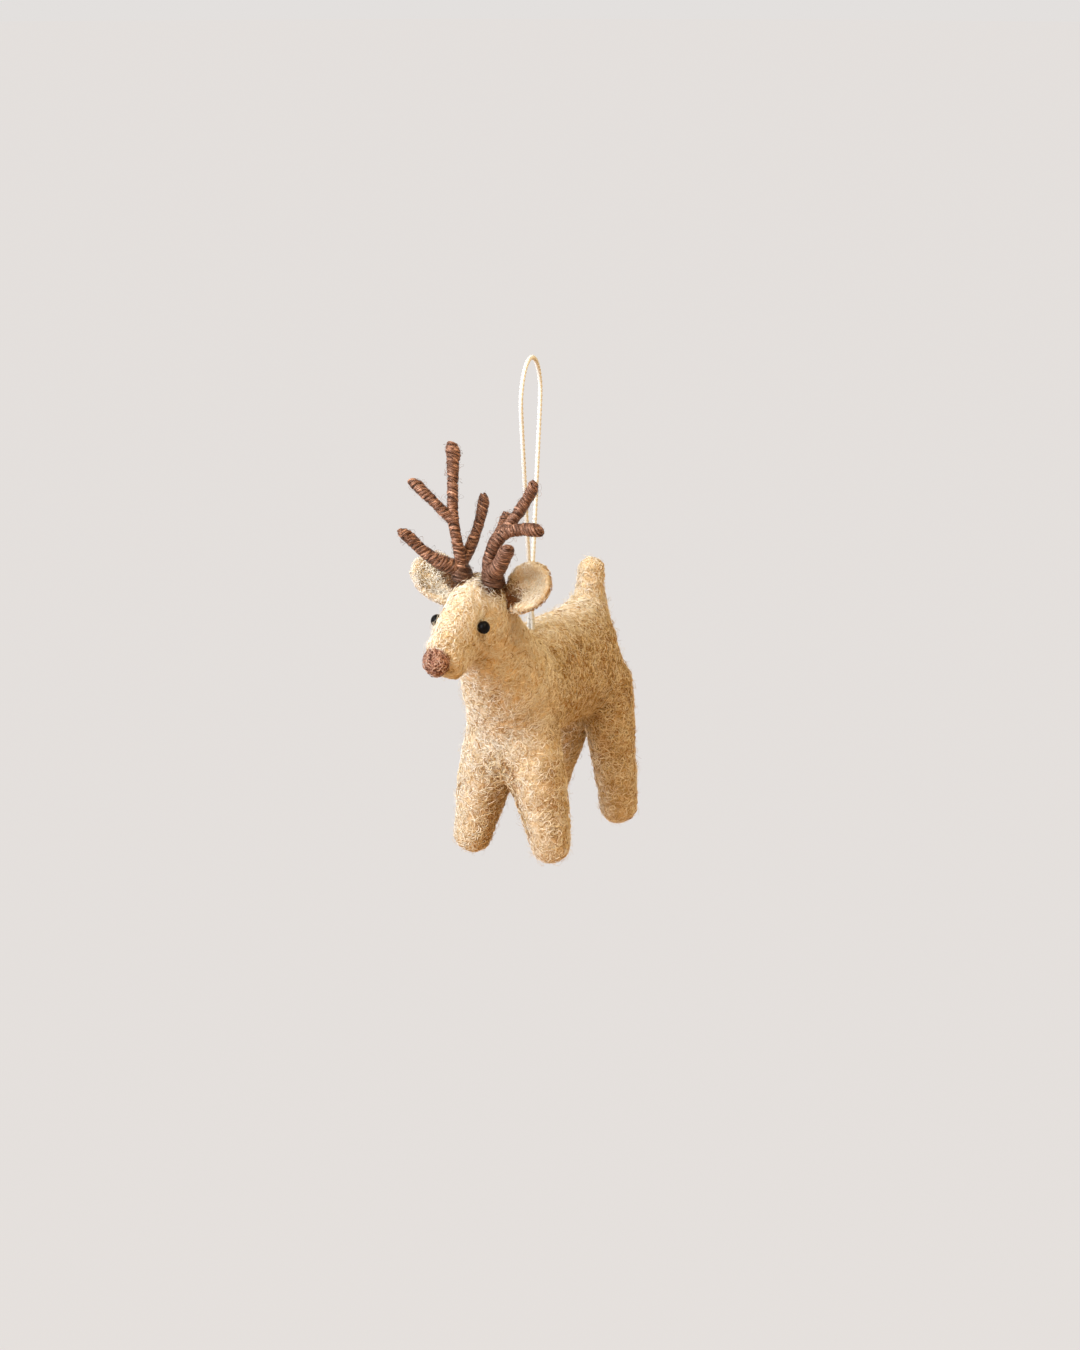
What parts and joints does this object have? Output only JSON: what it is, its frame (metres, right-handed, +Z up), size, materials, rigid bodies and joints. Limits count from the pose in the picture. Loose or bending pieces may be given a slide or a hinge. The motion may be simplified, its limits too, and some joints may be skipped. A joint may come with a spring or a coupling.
{
  "type": "felt deer ornament",
  "caption": "Needle-felted standing deer with wire-cored wool antlers, cupped ears and bead eyes, hung by a cotton thread loop from its back.",
  "frame": {"origin": "inner top of the hanging loop, where a hook carries the ornament", "axes": "+Z up out of the loop's top, -Y the way the deer looks, +X the deer's left"},
  "size_m": [0.0367, 0.0843, 0.1207],
  "materials": {
    "felt_cream": "needle-felted wool, cream fibres over tan, matte and fuzzy",
    "wool_brown": "brown wool wound on wire, matte with loose hairs",
    "wool_rose": "needle-felted rose-brown wool, matte",
    "bead_black": "polished black bead",
    "wire_steel": "bare soft wire, hidden in the wool",
    "thread_cotton": "off-white plied cotton thread"
  },
  "bodies": {
    "hanger": {"hanging_loop": "thread_cotton"},
    "upper_link": {"upper_thread_link": "thread_cotton"},
    "lower_link": {"lower_thread_link": "thread_cotton"},
    "deer": {"torso": "felt_cream", "neck": "felt_cream", "head": "felt_cream", "front_left_leg": "felt_cream", "front_right_leg": "felt_cream", "rear_left_leg": "felt_cream", "rear_right_leg": "felt_cream", "tail": "felt_cream", "nose": "wool_rose", "left_ear": "felt_cream", "right_ear": "felt_cream", "left_eye_bead": "bead_black", "right_eye_bead": "bead_black", "left_antler_wire": "wire_steel", "left_antler_base_wrap": "wool_brown", "left_antler_beam": "wool_brown", "left_antler_brow_tine": "wool_brown", "left_antler_rear_tine": "wool_brown", "left_antler_fork_tine": "wool_brown", "right_antler_wire": "wire_steel", "right_antler_base_wrap": "wool_brown", "right_antler_beam": "wool_brown", "right_antler_brow_tine": "wool_brown", "right_antler_rear_tine": "wool_brown", "right_antler_fork_tine": "wool_brown", "anchor_knot": "thread_cotton"}
  },
  "joints": [
    {"name": "turn", "type": "hinge", "parent": "hanger", "child": "upper_link", "pos_m": [0, 0, -0.05675], "axis": [0, 0, 1], "range_deg": [-180, 180]},
    {"name": "swing_side", "type": "hinge", "parent": "upper_link", "child": "lower_link", "pos_m": [0, 0, -0.06065], "axis": [0, 1, 0], "range_deg": [-15, 15]},
    {"name": "swing_fore_aft", "type": "hinge", "parent": "lower_link", "child": "deer", "pos_m": [0, 0, -0.06455], "axis": [1, 0, 0], "range_deg": [-12, 30]}
  ]
}
